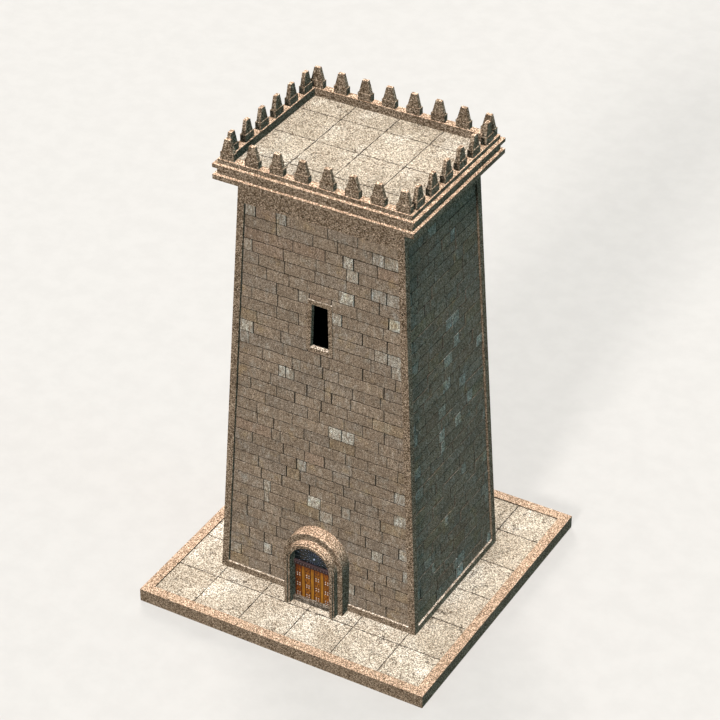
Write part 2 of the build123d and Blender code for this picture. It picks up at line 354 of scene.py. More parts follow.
def wall_stains(look, colour):
    """Broad ochre and grey stains, soft pale patches, upright tool marks and scratches."""
    colour = look.tinted(colour, look.patches(ochre_stain), ochre_tint)
    colour = look.tinted(colour, look.patches(grey_stain), grey_tint)
    colour = look.tinted(colour, look.patches(bloom), bloom_tint)
    colour = look.scaled(colour, look.patches(tool_marks))
    return look.tinted(colour, look.patches(scratches), scratch_tint)


def white_patches(look, colour):
    """Soft whiter places where slabs are trodden clean."""
    return look.tinted(colour, look.patches(trodden), trodden_tint)


def painted_top_light_and_wear(top_light_and_wear_colour, wear_share=usual_wear_share, above=None):
    """Painted highlight: paler upward faces, if need be only above a level; edges worn towards the same tone.
    """

    def layer(look, colour):
        normal = look.add("ShaderNodeTexCoord").outputs["Normal"]
        upward = look.span(look.axis("Z", normal), *upward_range)
        if above is not None:
            upward = look.math("MULTIPLY", upward, look.math("GREATER_THAN", look.axis("Z"), above))
        colour = look.mix(upward, colour, top_light_and_wear_colour)
        return look.mix(look.worn_edges(wear_radius, wear_share), colour, top_light_and_wear_colour)

    return layer


# Stone: grains to a metre, how many times the lightest grain is brighter than a middling one, the
# share of pits, how bright a grain may be, and how wide cracks are as a share of a cracked cell. A
# light grain is whiter than a dark one.
Stone = namedtuple("Stone", "grain ratio pits brightest cracks", defaults=(4.0, 0.0))
grain_warmth = (1.0, 1.1, 1.22)
grain_shift = (3.0, 5.0, 7.0)
fine_grain_factor = 2.5
fine_grain_detail = 3.0
fine_grain_roughness = 0.7
fine_grain_shades = (0.85, 1.15)
broad_stain = Patches(0.55, 4.0, 0.55, low=0.3, high=0.7, weakest=0.92, strongest=1.07)
pit_brown = rgb(0.05, 0.036, 0.025)
pit_crowds = Patches(1.9, 2.0, 0.6, low=0.5, high=0.72, weakest=0.4, strongest=4.0)
pit_grain_share = 0.7
pit_shift = (7.0, 3.0, 11.0)
pit_dirt_share = 0.85
crack_bend = (3.0, 2.0, 0.6)
crack_scale = 5.0
cracked = Patches(1.5, 1.0, 0.5, low=0.65, high=0.67, weakest=0.0, strongest=1.0, shift=(13.0, 29.0, 2.0))
stone_relief = 0.012
stone_relief_share = 0.6
stone_roughness_range = (0.82, 0.97)
matt_specular = 0.2


def crack_lines(look, width):
    """Bent cracks in a few places."""
    bent = look.vectors("ADD", look.place, look.noise(*crack_bend))
    inputs = {"Vector": bent, "Scale": crack_scale}
    cells = look.add("ShaderNodeTexVoronoi", inputs, feature="DISTANCE_TO_EDGE")
    lines = look.math("LESS_THAN", cells.outputs["Distance"], width)
    return look.math("MULTIPLY", lines, look.patches(cracked))


def stone_look(name, colour, stone, layers):
    """Weathered stone of light and dark grains, with stains, pits and cracks."""
    look = Look(name)
    for layer in layers:
        colour = layer(look, colour)
    mean = (stone.ratio - 1.0 / stone.ratio) / (2.0 * math.log(stone.ratio))
    dark, light = (shade / mean for shade in fine_grain_shades)
    power = look.math("MULTIPLY_ADD", look.grains(stone.grain, grain_shift), 2.0, -1.0)
    shade = look.math("MINIMUM", look.math("POWER", stone.ratio, power), stone.brightest)
    fine = look.noise(stone.grain * fine_grain_factor, fine_grain_detail, fine_grain_roughness)
    shade = look.math("MULTIPLY", shade, look.span(fine, *usual_noise, dark, light))
    shade = look.math("MULTIPLY", shade, look.patches(broad_stain))
    grained = look.scaled(colour, look.vectors("POWER", shade, grain_warmth))
    crowding = look.math("MULTIPLY", look.patches(pit_crowds), stone.pits)
    holes = look.math("LESS_THAN", look.grains(stone.grain * pit_grain_share, pit_shift), crowding)
    if stone.cracks:
        holes = look.math("MAXIMUM", holes, crack_lines(look, stone.cracks))
    pitted = look.mix(look.math("MULTIPLY", holes, pit_dirt_share), grained, pit_brown)
    height = look.math("MULTIPLY_ADD", holes, -1.0, fine)
    normal = look.bump(height, stone_relief, stone_relief_share)
    roughness = look.span(fine, *wide_noise, *stone_roughness_range)
    return look.finish(pitted, roughness, normal, Specular_IOR_Level=matt_specular)


# Core of the walls and joints of the paving
lining_depth = 0.06
masonry_noise = (9.0, 6.0, 0.7)
masonry_noise_range = (0.25, 0.75)
masonry_shades = (0.75, 1.2)
masonry_relief = 0.02
# Coursed masonry of the inner faces: the courses are real, their dark tone is painted shade inside the keep
painted_shade_inner_courses = {
    "Color1": rgb(0.17, 0.135, 0.1),
    "Color2": rgb(0.12, 0.1, 0.08),
    "Mortar": rgb(0.05, 0.042, 0.035),
    "Scale": 1.0,
    "Mortar Size": 0.014,
    "Mortar Smooth": 0.3,
    "Brick Width": 0.9,
    "Row Height": 0.45,
}
dark_mortar = rgb(0.012, 0.009, 0.007)
light_mortar = rgb(0.04, 0.03, 0.022)
grit_noise = (24.0, 5.0, 0.7)
dark_grit = rgb(0.008, 0.006, 0.004)
light_grit = rgb(0.035, 0.026, 0.02)
grit_relief = 0.01
dust_places = Patches(4.5, 2.0, 0.6, low=0.5, high=0.6, weakest=0.0, strongest=1.0)
dark_dust = rgb(0.24, 0.19, 0.145)
light_dust = rgb(0.42, 0.35, 0.27)
rough_masonry = 0.95


def wall_core_look():
    """Mortar between the outer stones, and coursed masonry on the inner faces, darkened as painted shade."""
    look = Look("wall_core")
    height = look.axis("Z")
    inner = 1.0
    for axis, name in enumerate("XY"):
        lean = (top_half[axis] - foot_half[axis]) / (shaft_top - shaft_foot)
        line = look.math("MULTIPLY_ADD", height, lean, panel_half(axis, 0.0))
        depth = look.math("SUBTRACT", line, look.math("ABSOLUTE", look.axis(name)))
        inner = look.math("MULTIPLY", inner, look.math("GREATER_THAN", depth, lining_depth))
    along = look.math("ADD", look.axis("X"), look.axis("Y"))
    plan = look.add("ShaderNodeCombineXYZ", {0: along, 1: height}).outputs[0]
    courses = look.add("ShaderNodeTexBrick", {"Vector": plan, **painted_shade_inner_courses})
    rough = look.noise(*masonry_noise)
    shade = look.span(rough, *masonry_noise_range, *masonry_shades)
    masonry = look.scaled(courses.outputs["Color"], shade)
    mortar = look.mix(rough, dark_mortar, light_mortar)
    relief = look.bump(look.math("MULTIPLY_ADD", courses.outputs["Fac"], -1.0, rough), masonry_relief)
    colour = look.mix(inner, mortar, masonry)
    return look.finish(colour, rough_masonry, relief, Specular_IOR_Level=matt_specular)


def joint_look():
    """Dark grit in the joints under the slabs, filled here and there with pale dust."""
    look = Look("slab_joint_grit")
    grit = look.noise(*grit_noise)
    dust = look.mix(grit, dark_dust, light_dust)
    colour = look.mix(look.patches(dust_places), look.mix(grit, dark_grit, light_grit), dust)
    return look.finish(colour, rough_masonry, look.bump(grit, grit_relief), Specular_IOR_Level=matt_specular)


# Timber
grain_stretches = {"X": (1.2, 24.0, 24.0), "Z": (24.0, 24.0, 1.2)}
grain_noise = (1.0, 6.0, 0.65)
grain_relief = 0.006
grain_relief_share = 0.7
timber_stain = Patches(1.7, 3.0, 0.6, low=0.3, high=0.7, weakest=0.82, strongest=1.15)
timber_roughness_range = (0.5, 0.7)
timber_specular = 0.35
bright_amber = (0.55, 0.235, 0.024)
deep_amber = (0.5, 0.185, 0.02)
board_brightnesses = (0.55, 1.3)
board_pairs = 2.0
board_stretch = (15.0, 15.0, 9.0)
board_stain = Patches(1.0, 3.0, 0.6, low=0.46, high=0.58, weakest=0.0, strongest=0.9, stretch=board_stretch)
board_edge_shares = (0.015, 0.065)
studded_share = 0.62
dark_edge = rgb(0.07, 0.016, 0.009)
# Painted shade on the door leaves towards the jambs and the transom
painted_shade_brightness_share = 0.5
painted_shade_start_share = 0.45
painted_shade_drop = 0.4
painted_shade_warmth = (0.8, 1.3, 1.5)


def timber_look(name, shades, grain_axis):
    """Timber with long grain; shades gives the colours of its dark and its light grain."""
    look = Look(name)
    grain = look.noise(*grain_noise, look.mapped(Scale=grain_stretches[grain_axis]))
    colour = look.mix(look.span(grain, *usual_noise), *shades(look))
    colour = look.scaled(colour, look.patches(timber_stain))
    normal = look.bump(grain, grain_relief, grain_relief_share)
    roughness = look.span(grain, *wide_noise, *timber_roughness_range)
    return look.finish(colour, roughness, normal, Specular_IOR_Level=timber_specular)


def plain_shades(dark, light):
    """The same two colours all over."""
    return lambda look: (dark, light)


def door_painted_shade(look, colour):
    """Red-brown painted shade on the leaves towards the jambs and the transom."""
    away = look.math("ABSOLUTE", look.math("SUBTRACT", look.axis("X"), portal_middle))
    leaf_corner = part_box("right_door_leaf")[1]
    leaf_half = leaf_corner.x - portal_middle
    beside = look.span(away, painted_shade_start_share * leaf_half, leaf_half, 1.0, painted_shade_brightness_share)
    under = look.span(look.axis("Z"), leaf_corner.z - painted_shade_drop, leaf_corner.z, 1.0, painted_shade_brightness_share)
    shade = look.math("MULTIPLY", beside, under)
    return look.scaled(colour, look.vectors("POWER", shade, painted_shade_warmth))


def leaf_shades(left, right):
    """Colours of the boards of one leaf from left to right: studded, bright, studded, bright."""

    def boards(look, level):
        share = look.math("DIVIDE", look.math("SUBTRACT", look.axis("X"), left), right - left)
        place = look.math("FRACT", look.math("MULTIPLY", share, board_pairs))
        studded = look.math("LESS_THAN", place, studded_share)
        to_seam = look.math("ABSOLUTE", look.math("SUBTRACT", place, studded_share))
        to_side = look.math("MINIMUM", place, look.math("SUBTRACT", 1.0, place))
        to_edge = look.math("MINIMUM", to_seam, to_side)
        bright = rgb(*(level * value for value in bright_amber))
        deep = rgb(*(level * value for value in deep_amber))
        stained = look.mix(look.patches(board_stain), deep, dark_edge)
        middle = look.mix(studded, bright, stained)
        return door_painted_shade(look, look.mix(look.span(to_edge, *board_edge_shares), dark_edge, middle))

    return lambda look: [boards(look, level) for level in board_brightnesses]


# Metal and glass
tarnish_noise = (30.0, 5.0, 0.7)
tarnish_range = (0.3, 0.75)
tarnish_shades = (0.7, 1.15)
tarnish_relief = 0.003
tarnish_relief_share = 0.5
tarnish_roughening = 0.2
metallic_share = 0.7
glass_noise = (6.0, 3.0, 0.6)
dark_glass = rgb(0.003, 0.006, 0.008)
light_glass = rgb(0.01, 0.016, 0.02)
# Painted bluish glint round the fanlight's hub
hub_painted_glint = rgb(0.04, 0.055, 0.11)
hub_painted_glint_range = (0.45, 0.1)
glass_roughness_range = (0.12, 0.3)
glass_relief = 0.01
glass_relief_share = 0.4


def metal_look(name, colour, roughness):
    look = Look(name)
    tarnish = look.noise(*tarnish_noise)
    shade = look.scaled(colour, look.span(tarnish, *tarnish_range, *tarnish_shades))
    normal = look.bump(tarnish, tarnish_relief, tarnish_relief_share)
    roughened = look.span(tarnish, *wide_noise, roughness, roughness + tarnish_roughening)
    return look.finish(shade, roughened, normal, Metallic=metallic_share)


def glass_look():
    """Dark leaded glass, dirty and uneven, with a painted bluish glint round the hub."""
    look = Look("dark_leaded_glass")
    waves = look.noise(*glass_noise)
    colour = look.mix(waves, dark_glass, light_glass)
    hub = fanlight_middle()[0]
    middle = (hub[0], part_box("fanlight")[0].y, hub[1])
    away = look.vectors("DISTANCE", look.place, middle, "Value")
    colour = look.mix(look.span(away, *hub_painted_glint_range), colour, hub_painted_glint)
    normal = look.bump(waves, glass_relief, glass_relief_share)
    return look.finish(colour, look.span(waves, *wide_noise, *glass_roughness_range), normal)


# Objects and meshes
def new_object(name, data):
    thing = bpy.data.objects.new(name, data)
    bpy.context.scene.collection.objects.link(thing)
    return thing


def new_mesh(name, points, faces, material):
    mesh = bpy.data.meshes.new(name)
    mesh.from_pydata(points, [], faces)
    mesh.materials.append(material)
    return mesh


def place_piece(name, mesh, body):
    piece = new_object(name, mesh)
    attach(piece, body)
    return piece


class Pile:
    """Closed grids of points gathered into one mesh, with a tint on each point and a rim value, naught on the
    rim, stored as wear.
    """

    def __init__(self):
        self.points = []
        self.faces = []
        self.tints = []
        self.wears = []

    def add_grid(self, grid, tint, paleness=0.0):
        """A stone whose front is a grid of points, rows upward and columns to the right.

        It is closed at the back by one face.
        """
        rows, columns = grid.shape[:2]
        start = len(self.points)

        def index(row, column):
            return start + row * columns + column

        self.points += grid.reshape(-1, 3).tolist()
        self.tints += [(*tint, paleness)] * (rows * columns)
        for row in range(rows):
            for column in range(columns):
                on_rim = row in (0, rows - 1) or column in (0, columns - 1)
                self.wears.append(0.0 if on_rim else 1.0)
        for row in range(rows - 1):
            for column in range(columns - 1):
                low = (index(row, column), index(row, column + 1))
                high = (index(row + 1, column + 1), index(row + 1, column))
                self.faces.append(low + high)
        rim = [index(0, column) for column in range(columns)]
        rim += [index(row, columns - 1) for row in range(1, rows)]
        rim += [index(rows - 1, column) for column in range(columns - 2, -1, -1)]
        rim += [index(row, 0) for row in range(rows - 2, 0, -1)]
        self.faces.append(tuple(reversed(rim)))

    def make(self, name, material, slot, body="keep"):
        mesh = new_mesh(name, self.points, self.faces, material)
        tint = mesh.attributes.new("tint", "FLOAT_COLOR", "POINT")
        tint.data.foreach_set("color", np.array(self.tints, np.float32).ravel())
        wear = mesh.attributes.new("wear", "FLOAT", "POINT")
        wear.data.foreach_set("value", np.array(self.wears, np.float32))
        return place_piece(name, mesh, body)


# Stones
def chips(count, depth):
    """Small losses along an edge; most are slight and a few are deep."""
    return depth * rng.random(count) ** chip_power


def raised_grid(rows_at, left, right, proud, dressing, position):
    """Front of one stone: a chipped rim sunk into its bed, an arris, and an uneven face.

    rows_at are the heights of its rows; left and right give its edges at a height, and position
    its points.
    """
    width = right(rows_at[0]) - left(rows_at[0])
    shares = np.linspace(0.0, 1.0, max(2, int(round(width / dressing.pitch))))
    rows, columns = len(rows_at), len(shares) + 2
    below = chips(columns, dressing.chip)
    above = chips(columns, dressing.chip)
    before = chips(rows, dressing.chip)
    after = chips(rows, dressing.chip)
    out = proud + rng.uniform(-dressing.unevenness, dressing.unevenness, (rows, columns))
    out[[0, -1], :] = -dressing.seat
    out[:, [0, -1]] = -dressing.seat
    grid = []
    for row, level in enumerate(rows_at):
        low, high = left(level) + before[row], right(level) - after[row]
        inner = low + dressing.arris + shares * (high - low - 2 * dressing.arris)
        loss = np.zeros(columns)
        if row < edge_rows:
            loss = below
        elif row >= rows - edge_rows:
            loss = -above
        line = [low, *inner, high]
        grid.append([position(*point) for point in zip(line, level + loss, out[row])])
    return np.array(grid, float)


def stone_tint(tones, spread_share):
    """A tone drawn from a short list by its share, a little lighter or darker."""
    draw = rng.random()
    level = rng.uniform(1.0 - spread_share, 1.0 + spread_share)
    for share, tone in tones:
        draw -= share
        if draw < 0:
            break
    return tuple(level * value for value in tone)


def wall_position(side):
    """Points of one panel from a distance along it, a height and a distance out of it."""

    def position(along, z, out):
        x_face = panel_half(0, z) + out
        y_face = panel_half(1, z) + out
        return {
            "front": (along, -y_face, z),
            "back": (-along, y_face, z),
            "right": (x_face, along, z),
            "left": (-x_face, -along, z),
        }[side]

    return position


def course_levels():
    heights = 1.0 + rng.uniform(-course_variation_share, course_variation_share, course_count)
    levels = np.concatenate(([0.0], np.cumsum(heights))) / heights.sum()
    return panel_foot + levels * (panel_head - panel_foot)


def portal_edge(z):
    """Half width at a height of the wall that the portal hides."""
    radius = portal_half - hidden_under_frame
    rise = max(0.0, z - portal_round)
    return math.sqrt(max(0.0, radius**2 - rise**2))


def window_frame_edge(z):
    share = (z - frame_foot) / (frame_head - frame_foot)
    return frame_half_foot + (frame_half_head - frame_half_foot) * share - hidden_under_frame


def lay_course(pile, position, low, high, left, right, curved=False):
    """Stones of random lengths from one edge to the other."""
    middle = (low + high) / 2
    start, end = left(middle), right(middle)
    count = max(1, int(round((end - start) / stone_length)))
    lengths = rng.uniform(*stone_length_shares, count)
    joints = start + (end - start) * np.concatenate(([0.0], np.cumsum(lengths))) / lengths.sum()
    narrowest, widest = upright_joint_range
    gaps = narrowest + (widest - narrowest) * rng.random(count + 1) ** upright_joint_power
    for index in range(count):
        bed = rng.uniform(*bed_joint_range)
        left_line = left if index == 0 else (lambda z, x=joints[index]: x)
        right_line = right if index == count - 1 else (lambda z, x=joints[index + 1]: x)
        foot, head = low + bed, high - bed
        rows = curved_rows if curved and index in (0, count - 1) else straight_rows
        arris = stone_dressing.arris
        levels = [foot, *np.linspace(foot + arris, head - arris, rows), head]
        grid = raised_grid(
            levels,
            lambda z: left_line(z) + gaps[index],
            lambda z: right_line(z) - gaps[index + 1],
            rng.uniform(*stone_proud_range),
            stone_dressing,
            position,
        )
        short = joints[index + 1] - joints[index] < pale_longest
        pale = short and rng.random() < pale_share
        tint = stone_tint(wall_tones, wall_spread_share)
        pile.add_grid(grid, tint, rng.uniform(*paleness_range) if pale else 0.0)


def wall_stones(side, levels):
    """All stones of one panel; on the front they part at the portal and the window."""
    pile = Pile()
    position = wall_position(side)
    axis = 0 if side in ("front", "back") else 1

    def end(z):
        return face_half(axis, z) - strip_width

    def lay(low, high, left, right, curved=False):
        lay_course(pile, position, low, high, left, right, curved)

    for low, high in zip(levels[:-1], levels[1:]):
        if side == "front" and portal_edge(low) > 0:
            lay(low, high, lambda z: -end(z), lambda z: portal_middle - portal_edge(z), True)
            lay(low, high, lambda z: portal_middle + portal_edge(z), end, True)
        elif side == "front" and low < frame_head and high > frame_foot:
            if frame_foot - low > shortest_closer:
                lay(low, frame_foot, lambda z: -window_frame_edge(z), window_frame_edge)
            if high - frame_head > shortest_closer:
                lay(frame_head, high, lambda z: -window_frame_edge(z), window_frame_edge)
            lay(low, high, lambda z: -end(z), lambda z: -window_frame_edge(z))
            lay(low, high, window_frame_edge, end)
        else:
            lay(low, high, lambda z: -end(z), end)
    return pile


# Slabs
def slab_lines(pitch, half):
    """Joints on a square grid through the middle, ending at the edge; no sliver is left there."""
    count = int(half / pitch)
    inner = [pitch * index for index in range(-count, count + 1)]
    return [-half, *[line for line in inner if abs(line) < half - pitch * sliver_share], half]


def slabs(pitch, half_x, half_y, level):
    pile = Pile()

    def position(along, across, out):
        return (along, across, level + out)

    x_lines = slab_lines(pitch, half_x)
    y_lines = slab_lines(pitch, half_y)
    for west, east in zip(x_lines[:-1], x_lines[1:]):
        for south, north in zip(y_lines[:-1], y_lines[1:]):
            foot, head = south + slab_end_joint, north - slab_end_joint
            arris = slab_dressing.arris
            count = max(2, int(round((head - foot) / slab_dressing.pitch)))
            grid = raised_grid(
                [foot, *np.linspace(foot + arris, head - arris, count), head],
                lambda z: west + slab_side_joint,
                lambda z: east - slab_side_joint,
                slab_proud,
                slab_dressing,
                position,
            )
            pile.add_grid(grid, stone_tint(slab_tones, slab_spread_share))
    return pile


# Door fittings
class Fittings:
    """Small closed forms gathered into one mesh."""

    def __init__(self):
        self.points = []
        self.faces = []

    def add_dome(self, centre, radius, rise, facets):
        """Dome facing -Y with a number of rings and sides, closed at the back."""
        rings, sides = facets
        first = len(self.points)
        for ring in range(rings):
            turn = ring / rings * math.pi / 2
            reach, out = radius * math.cos(turn), rise * math.sin(turn)
            for side in range(sides):
                angle = 2 * math.pi * side / sides
                x, z = reach * math.cos(angle), reach * math.sin(angle)
                self.points.append((centre[0] + x, centre[1] - out, centre[2] + z))
        self.points.append((centre[0], centre[1] - rise, centre[2]))
        tip = len(self.points) - 1
        for side in range(sides):
            following = (side + 1) % sides
            for ring in range(rings - 1):
                here, above = first + ring * sides, first + (ring + 1) * sides
                self.faces.append((here + side, here + following, above + following, above + side))
            last = first + (rings - 1) * sides
            self.faces.append((last + side, last + following, tip))
        self.faces.append(tuple(first + side for side in reversed(range(sides))))

    def add_strip(self, outline, front, back):
        """Flat form facing -Y from its outline, counted round as seen from the front."""
        first, count = len(self.points), len(outline)
        self.points += [(x, y, z) for y in (front, back) for x, z in outline]
        self.faces.append(tuple(first + index for index in range(count)))
        self.faces.append(tuple(first + count + index for index in reversed(range(count))))
        for index in range(count):
            here, following = first + index, first + (index + 1) % count
            self.faces.append((following, here, here + count, following + count))

    def add_ring(self, centre, inner, outer, front, back):
        """Flat ring facing -Y."""
        first = len(self.points)
        section = ((inner, front), (outer, front), (outer, back), (inner, back))
        count = len(section)
        for side in range(ring_sides):
            angle = 2 * math.pi * side / ring_sides
            for radius, y in section:
                x, z = radius * math.cos(angle), radius * math.sin(angle)
                self.points.append((centre[0] + x, y, centre[1] + z))
        for side in range(ring_sides):
            here, following = first + count * side, first + count * ((side + 1) % ring_sides)
            for corner in range(count):
                after = (corner + 1) % count
                self.faces.append((here + corner, here + after, following + after, following + corner))

    def make(self, name, material, slot, body="keep", smooth=False):
        mesh = new_mesh(name, self.points, self.faces, material)
        mesh.polygons.foreach_set("use_smooth", [smooth] * len(mesh.polygons))
        return place_piece(name, mesh, body)


def leaf_edges(side):
    """Left and right edge of the boards of one leaf, up to its rounded heel."""
    low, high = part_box(f"{side}_door_leaf")
    heel_radius = (high.y - low.y) / 2
    return (low.x, high.x - heel_radius) if side == "right" else (low.x + heel_radius, high.x)


def studs(side, material):
    """Groups of four domed studs on the wide boards of one leaf."""
    low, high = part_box(f"{side}_door_leaf")
    left, right = leaf_edges(side)
    fittings = Fittings()
    for board_share in studded_board_shares:
        for row_share in stud_row_shares:
            x = left + board_share * (right - left)
            z = low.z + row_share * (high.z - low.z)
            for step_x in (-stud_spread, stud_spread):
                for step_z in (-stud_spread, stud_spread):
                    centre = (x + step_x, low.y, z + step_z)
                    fittings.add_dome(centre, stud_radius, stud_rise, stud_dome)
    fittings.make(f"{side}_leaf_studs", material, "dark_timber", f"{side}_leaf", smooth=True)


def fanlight_middle():
    """Middle of the pane's rays and the height from which its arch is round."""
    low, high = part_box("fanlight")
    half = (high.x - low.x) / 2
    return (low.x + half, low.z + fanlight_hub_rise), high.z - half


def ray_length(angle):
    """Distance from the fanlight's hub to the edge of the pane."""
    low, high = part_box("fanlight")
    half = (high.x - low.x) / 2
    hub, springing = fanlight_middle()
    cosine, sine = math.cos(angle), math.sin(angle)
    drop = springing - hub[1]
    length = drop * sine + math.sqrt((drop * sine) ** 2 + half**2 - drop**2)
    if hub[1] + length * sine >= springing:
        return length
    to_side = half / abs(cosine)
    return to_side if sine >= 0 else min(to_side, (hub[1] - low.z) / -sine)


def ray_angles():
    """Angles of the rays, evenly round the hub."""
    steps = [index + fanlight_first_share for index in range(fanlight_ray_count)]
    return [2 * math.pi * step / fanlight_ray_count for step in steps]


def fanlight_bars(material):
    """Rays that taper from the hub to the edge of the pane, and a ring round the hub."""
    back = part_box("fanlight")[0].y
    front = back - fanlight_bar_depth
    hub = fanlight_middle()[0]
    fittings = Fittings()
    for angle in ray_angles():
        along = np.array((math.cos(angle), math.sin(angle)))
        across = np.array((-along[1], along[0])) * fanlight_bar_width / 2
        start = np.array(hub) + along * fanlight_hub_radius / 2
        end = np.array(hub) + along * ray_length(angle)
        taper = across * fanlight_taper_share
        fittings.add_strip([start - across, end - taper, end + taper, start + across], front, back)
    ring_inner = fanlight_ring_radius - fanlight_bar_width / 2
    ring_outer = fanlight_ring_radius + fanlight_bar_width / 2
    fittings.add_ring(hub, ring_inner, ring_outer, front - fanlight_ring_relief, back)
    fittings.make("fanlight_bars", material, "dark_glass")


def fanlight_rivets(material):
    """Rivets on the rays, staggered on a few circles round the hub."""
    hub = fanlight_middle()[0]
    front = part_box("fanlight")[0].y - fanlight_bar_depth
    fittings = Fittings()
    for ray, angle in enumerate(ray_angles()):
        for circle, radius in enumerate(fanlight_rivet_circles):
            if (ray + circle) % 2 or radius > ray_length(angle) - fanlight_rivet_radius:
                continue
            centre = (hub[0] + radius * math.cos(angle), front, hub[1] + radius * math.sin(angle))
            fittings.add_dome(centre, fanlight_rivet_radius, fanlight_rivet_rise, small_dome)
    fittings.make("fanlight_rivets", material, "dark_glass", smooth=True)


def fanlight_hub(material):
    """Boss in the middle of the rays."""
    hub = fanlight_middle()[0]
    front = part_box("fanlight")[0].y - fanlight_bar_depth
    fittings = Fittings()
    fittings.add_dome((hub[0], front, hub[1]), fanlight_hub_radius, fanlight_hub_rise_out, hub_dome)
    fittings.make("fanlight_hub", material, "dark_glass", smooth=True)


def transom_beads(material):
    """Row of small beads along the transom."""
    low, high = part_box("transom")
    count = int((high.x - low.x) / bead_pitch)
    margin = ((high.x - low.x) - (count - 1) * bead_pitch) / 2
    level = low.z + bead_height_share * (high.z - low.z)
    fittings = Fittings()
    for index in range(count):
        centre = (low.x + margin + index * bead_pitch, low.y, level)
        fittings.add_dome(centre, bead_radius, bead_rise, small_dome)
    fittings.make("transom_beads", material, "dark_timber", smooth=True)


def transom_strip(material):
    """Thin moulding along the top of the transom."""
    low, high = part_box("transom")
    front = low.y - transom_strip_projection
    foot = high.z - transom_strip_height
    profile = [
        (low.y, foot),
        (front, foot + transom_strip_height * transom_strip_splay_share),
        (front, high.z - transom_strip_height * transom_strip_round_share),
        (front + transom_strip_projection * transom_strip_set_back_share, high.z),
        (low.y, high.z),
    ]
    count = len(profile)
    points = [(x, y, z) for x in (low.x, high.x) for y, z in profile]
    faces = [tuple(range(count)), tuple(reversed(range(count, 2 * count)))]
    for index in range(count):
        following = (index + 1) % count
        faces.append((following, index, count + index, count + following))
    mesh = new_mesh("transom_strip", points, faces, material)
    place_piece("transom_strip", mesh, "keep")


# Materials of the whole keep
wall_brown = rgb(0.38, 0.289, 0.208)
trim_brown = rgb(0.35, 0.255, 0.172)
# Tones of tops and worn edges: on upward faces they are painted highlight, on worn edges real wear
trim_top_light_and_wear = rgb(0.7, 0.485, 0.33)
kerb_top_light_and_wear = rgb(0.61, 0.425, 0.29)
ledge_top_light_and_wear = rgb(0.78, 0.64, 0.5)
slab_cream = rgb(0.66, 0.565, 0.442)
# Court slabs a little lighter than the terrace's: painted light that offsets the keep's shade on the court
court_cream_painted_light = rgb(0.72, 0.62, 0.49)
# The threshold's dark brown is painted shade from the portal
threshold_painted_shade_brown = rgb(0.21, 0.17, 0.13)
merlon_wear_share = 0.1
merlon_cap = 0.05
front_layers = [stone_tints(rim_share=0.6), wall_stains, pale_blocks]
# Side walls: rims darker than the front's, dark joints with painted shade in them
side_joint_shade_layers = [stone_tints(rim_share=0.15), wall_stains, pale_blocks]
slab_layers = [stone_tints(rim_share=0.5), white_patches]
merlon_layers = [painted_top_light_and_wear(trim_top_light_and_wear, merlon_wear_share, merlon_top - merlon_cap)]
front_stone = Stone(grain=36.0, ratio=2.0, pits=0.015)
side_stone = Stone(grain=32.0, ratio=2.3, pits=0.03)
trim_stone = Stone(grain=30.0, ratio=3.5, pits=0.05)
merlon_stone = Stone(grain=28.0, ratio=3.9, pits=0.05)
ledge_stone = Stone(grain=30.0, ratio=3.2, pits=0.03)
kerb_stone = Stone(grain=30.0, ratio=2.9, pits=0.035)
slab_stone = Stone(grain=31.0, ratio=3.4, pits=0.045, brightest=1.8)
court_stone = slab_stone._replace(cracks=0.06)
threshold_stone = Stone(grain=26.0, ratio=2.8, pits=0.04)
ashlar = stone_look("ashlar", wall_brown, front_stone, front_layers)
side_ashlar = stone_look("side_ashlar", wall_brown, side_stone, side_joint_shade_layers)
trim = stone_look("trim", trim_brown, trim_stone, [painted_top_light_and_wear(trim_top_light_and_wear)])
merlon = stone_look("merlon", trim_brown, merlon_stone, merlon_layers)
ledge = stone_look("ledge", trim_brown, ledge_stone, [painted_top_light_and_wear(ledge_top_light_and_wear)])
kerb = stone_look("kerb", trim_brown, kerb_stone, [painted_top_light_and_wear(kerb_top_light_and_wear)])
slab = stone_look("slab", slab_cream, slab_stone, slab_layers)
court = stone_look("court_slab", court_cream_painted_light, court_stone, slab_layers)
doorstep = stone_look("threshold_stone", threshold_painted_shade_brown, threshold_stone, [])
wall_core = wall_core_look()
joint_grit = joint_look()
# Near-black floor boards: painted shade inside the keep
floor_painted_shade_tones = plain_shades(rgb(0.008, 0.006, 0.005), rgb(0.022, 0.016, 0.012))
transom_shades = plain_shades(rgb(0.02, 0.01, 0.011), rgb(0.055, 0.026, 0.027))
strip_shades = plain_shades(rgb(0.06, 0.036, 0.038), rgb(0.13, 0.08, 0.083))
floor_boards = timber_look("floor_boards", floor_painted_shade_tones, "X")
dark_timber = timber_look("transom_timber", transom_shades, "X")
strip_timber = timber_look("transom_strip_timber", strip_shades, "X")
stud_metal = metal_look("stud_metal", rgb(0.78, 0.7, 0.64), roughness=0.3)
bar_metal = metal_look("bar_metal", rgb(0.06, 0.08, 0.085), roughness=0.5)
hub_metal = metal_look("hub_metal", rgb(0.36, 0.43, 0.62), roughness=0.3)
bead_metal = metal_look("bead_metal", rgb(0.24, 0.19, 0.19), roughness=0.4)
glass = glass_look()


def dress(nodes, material):
    for name in nodes:
        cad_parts[name].data.materials.clear()
        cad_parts[name].data.materials.append(material)


